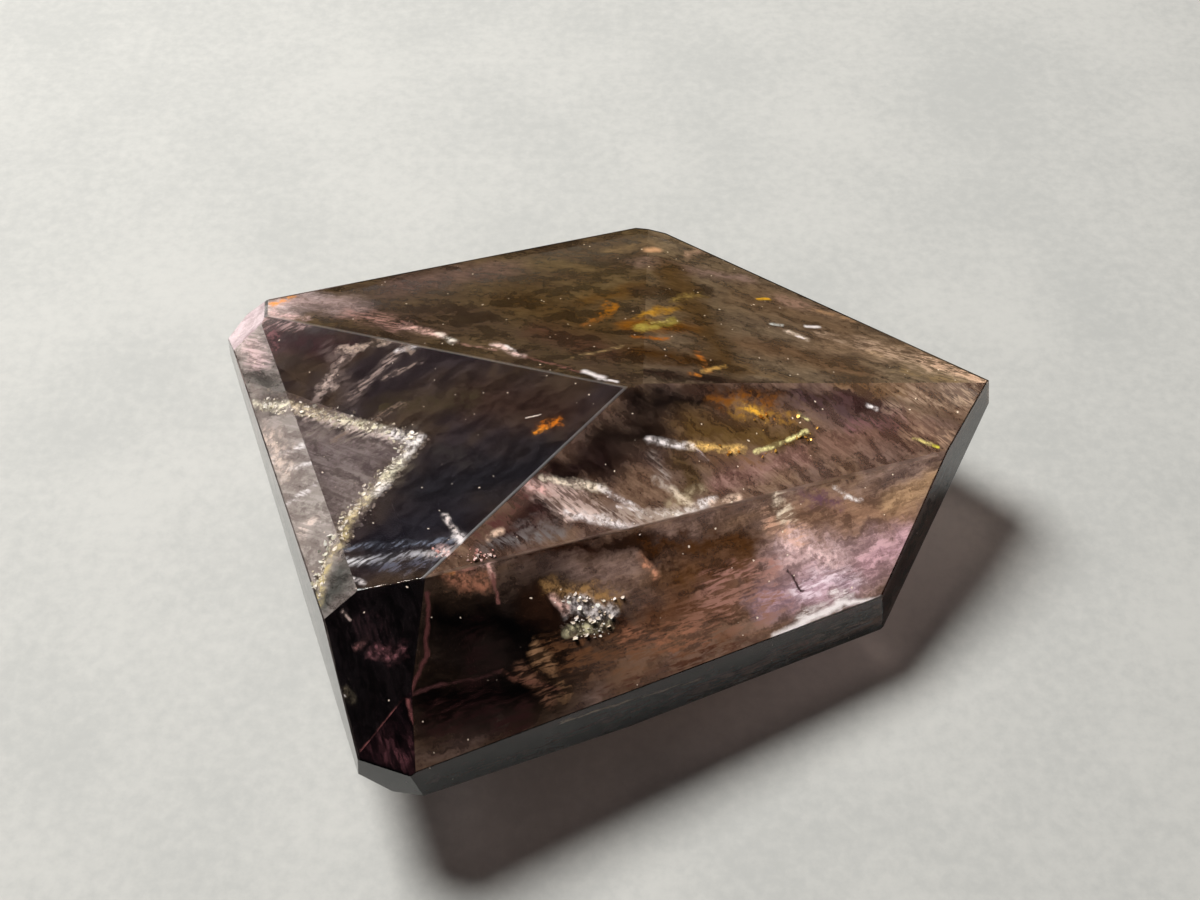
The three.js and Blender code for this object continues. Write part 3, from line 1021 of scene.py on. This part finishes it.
# %% The haze of the buried face
CREAM = colour(240, 230, 206)
HAZE_LEFT = Vector((-28.3, 7.2, 10.1))
HAZE_TIP = Vector((-13.5, -2.9, 14.7))
HAZE_LOW = Vector((-20.1, -16.0, 13.2))
CRUST_END = (-18.2, -9.6, 13.0)
UNCUT_SIZE = 60
bpy.ops.mesh.primitive_plane_add(size=UNCUT_SIZE * MM, location=(0, 0, 0))
buried = bpy.context.active_object
buried.name = "buried_face"
across = (HAZE_TIP - HAZE_LEFT).normalized()
upward = across.cross(HAZE_LOW - HAZE_LEFT).normalized()
if upward.z < 0:
    upward.negate()
turn = Matrix((across, upward.cross(across), upward)).transposed().to_4x4()
buried.matrix_world = Matrix.Translation(HAZE_TIP * MM) @ turn
bpy.ops.object.transform_apply(location=True, rotation=True, scale=True)
edit(buried)
for a, b in ((HAZE_LEFT, HAZE_TIP), (HAZE_TIP, HAZE_LOW), (HAZE_LOW, HAZE_LEFT)):
    inward = upward.cross(b - a).normalized()
    if inward.dot(HAZE_LEFT + HAZE_TIP + HAZE_LOW - 3 * a) < 0:
        inward.negate()
    bpy.ops.mesh.select_all(action="SELECT")
    bpy.ops.mesh.bisect(plane_co=a * MM, plane_no=-inward, clear_outer=True)
bpy.ops.mesh.select_all(action="SELECT")
bpy.ops.mesh.quads_convert_to_tris()
bpy.ops.mesh.subdivide(number_cuts=30)
bpy.ops.object.mode_set(mode="OBJECT")
ripple_piece(buried, height=0.4, spacing=3.0)
finish_piece(buried, cloud_material(
    "grey_haze", [(236, 232, 226), (216, 210, 208), (180, 172, 172)], (across, 1.1, 9.0), (0.7, 0.97), [
        (HAZE_LEFT, HAZE_TIP, 0.9, CREAM, 1.0, "grainy"),
        (HAZE_TIP, CRUST_END, 0.9, CREAM, 1.0, "grainy"),
    ]))

# %% [markdown]
# ## Flakes and grains
# The crust and the golden patch are made of real little plates, because paint can't glitter. One flake is
# modelled: a five-sided plate with one corner pulled out, and a little thickness. Its copies are turned and
# sized by a seeded list of chance numbers, so each run gives the same stone.

# %% One flake
CORNER_PULL = (0.12, 0.3, 0)
THICKNESS = (0.03, 0, 0.1)
bpy.ops.mesh.primitive_circle_add(vertices=5, radius=0.5, fill_type="NGON", location=(0, 0, 0))
flake = bpy.context.active_object
flake.name = "flake_pattern"
edit(flake)
bpy.ops.mesh.select_mode(type="VERT")
bpy.ops.mesh.select_all(action="DESELECT")
shape = bmesh.from_edit_mesh(flake.data)
for corner in shape.verts:
    corner.select = corner.co.y > 0.45
bmesh.update_edit_mesh(flake.data)
bpy.ops.transform.translate(value=CORNER_PULL)
bpy.ops.mesh.select_mode(type="FACE")
bpy.ops.mesh.select_all(action="SELECT")
bpy.ops.mesh.extrude_region_move(TRANSFORM_OT_translate={"value": THICKNESS})
bpy.ops.mesh.select_all(action="SELECT")
bpy.ops.mesh.normals_make_consistent(inside=False)
bpy.ops.object.mode_set(mode="OBJECT")

# %% Scatter flakes along lines
MOSTLY_SMALL = 2.2
NARROWER = 0.8


def scatter(name, lines, count, spread, sizes, flatness, tilt, seed):
    """One piece of many flakes, strewn round lines of points in millimetres. sizes are the smallest and the
    largest. flatness keeps the flakes near one plane, and they lean from it by up to tilt, in radians."""
    chance = random.Random(seed)
    smallest, largest = sizes
    lengths = [(Vector(b) - Vector(a)).length for a, b in lines]
    copies = []
    for _ in range(count):
        a, b = chance.choices(lines, lengths)[0]
        place = Vector(a).lerp(Vector(b), chance.random())
        aside = (chance.gauss(0, spread), chance.gauss(0, spread), chance.gauss(0, spread * flatness))
        place += Vector(aside)
        size = smallest + (largest - smallest) * chance.random() ** MOSTLY_SMALL
        turn = Euler((chance.uniform(-tilt, tilt), chance.uniform(-tilt, tilt), chance.uniform(0, 6.28)))
        copy = copy_of(flake, name)
        copy.matrix_world = Matrix.LocRotScale(place * MM, turn, Vector((size, size * NARROWER, size)) * MM)
        copies.append(copy)
    bpy.ops.object.select_all(action="DESELECT")
    for copy in copies:
        copy.select_set(True)
    bpy.context.view_layer.objects.active = copies[0]
    bpy.ops.object.join()
    bpy.ops.object.transform_apply(location=True, rotation=True, scale=True)
    copies[0].name = name
    return copies[0]


def lines_in_stone(lines, depth):
    """Lines given on the picture, as lines in the stone this many millimetres down."""
    return [(in_stone(x1, y1, depth), in_stone(x2, y2, depth)) for x1, y1, x2, y2 in lines]


def flakes(name, look, lines, shades, roughness, metallic=0.0, **strewn):
    """One piece of flakes along these lines. Its two shades are mixed in small cells."""
    material, tree, output, point = new_material(look)
    main, other = (colour(*shade) for shade in shades)
    share = ramp(tree, noise(tree, point, 2.5, 2.0)[0], 0.4, 0.6)
    surface = node(tree, "BsdfPrincipled", inputs={
        "Base Color": blend_colours(tree, share, main, other), "Roughness": roughness, "Metallic": metallic})
    tree.links.new(surface.outputs[0], output.inputs["Surface"])
    finish_piece(scatter(name, lines, **strewn), material)


# %% The crust's grains
CRUST_DEPTH = 0.34
CRUST_ON_PICTURE = [
    (266, 403), (285, 407), (312, 413), (340, 420), (385, 432), (418, 440), (400, 462), (385, 480),
    (365, 500), (350, 520), (341, 540), (330, 560), (325, 575), (324, 590)]
CRUST_PATH = [in_stone(x, y, CRUST_DEPTH) for x, y in CRUST_ON_PICTURE]
CRUST_LINES = list(zip(CRUST_PATH[:-1], CRUST_PATH[1:]))
flakes("crust_grains", "crust_cream", CRUST_LINES, [(255, 252, 244), (216, 210, 186)], roughness=0.45,
       count=2300, spread=0.42, sizes=(0.08, 0.46), flatness=0.2, tilt=0.8, seed=11)

# %% Golden flakes
GOLD_ON_PICTURE = [(737, 412, 790, 418), (757, 450, 806, 432), (690, 446, 742, 446)]
GOLD_LINES = lines_in_stone(GOLD_ON_PICTURE, depth=0.36)
flakes("gold_flakes", "gold_glint", GOLD_LINES, [(245, 200, 100), (190, 130, 50)], roughness=0.3,
       metallic=0.6, count=150, spread=0.5, sizes=(0.06, 0.4), flatness=0.15, tilt=0.9, seed=23)

# %% The feathery cloud in the front flat
FEATHER_ON_PICTURE = [(572, 606, 606, 614), (572, 614, 604, 619), (556, 591, 612, 599), (570, 630, 606, 624)]
FEATHER_LINES = lines_in_stone(FEATHER_ON_PICTURE, depth=0.48)
flakes("feather_flakes", "feather_cream", FEATHER_LINES, [(255, 255, 250), (238, 224, 198)], roughness=0.4,
       count=520, spread=0.34, sizes=(0.08, 0.5), flatness=0.3, tilt=0.4, seed=31)

# %% The pink cluster at the ridge's end
CLUSTER_LINES = lines_in_stone([(438, 553, 490, 554)], depth=0.12)
flakes("cluster_flakes", "cluster_pink", CLUSTER_LINES, [(255, 238, 230), (230, 170, 160)], roughness=0.4,
       count=200, spread=0.28, sizes=(0.06, 0.3), flatness=0.3, tilt=0.6, seed=37)

# %% Glints on the white fracture
GLINTS_ON_PICTURE = [(568, 511, 642, 531), (600, 486, 640, 512), (690, 511, 713, 500)]
GLINT_LINES = lines_in_stone(GLINTS_ON_PICTURE, depth=0.36)
flakes("fracture_glints", "fracture_white", GLINT_LINES, [(255, 250, 244), (226, 206, 190)], roughness=0.35,
       count=200, spread=0.2, sizes=(0.06, 0.3), flatness=0.2, tilt=0.6, seed=41)

# %% [markdown]
# ## Finish
# The patterns were only moulds, so they go.

# %% Remove the patterns
bpy.data.objects.remove(flats)
bpy.data.objects.remove(flake)
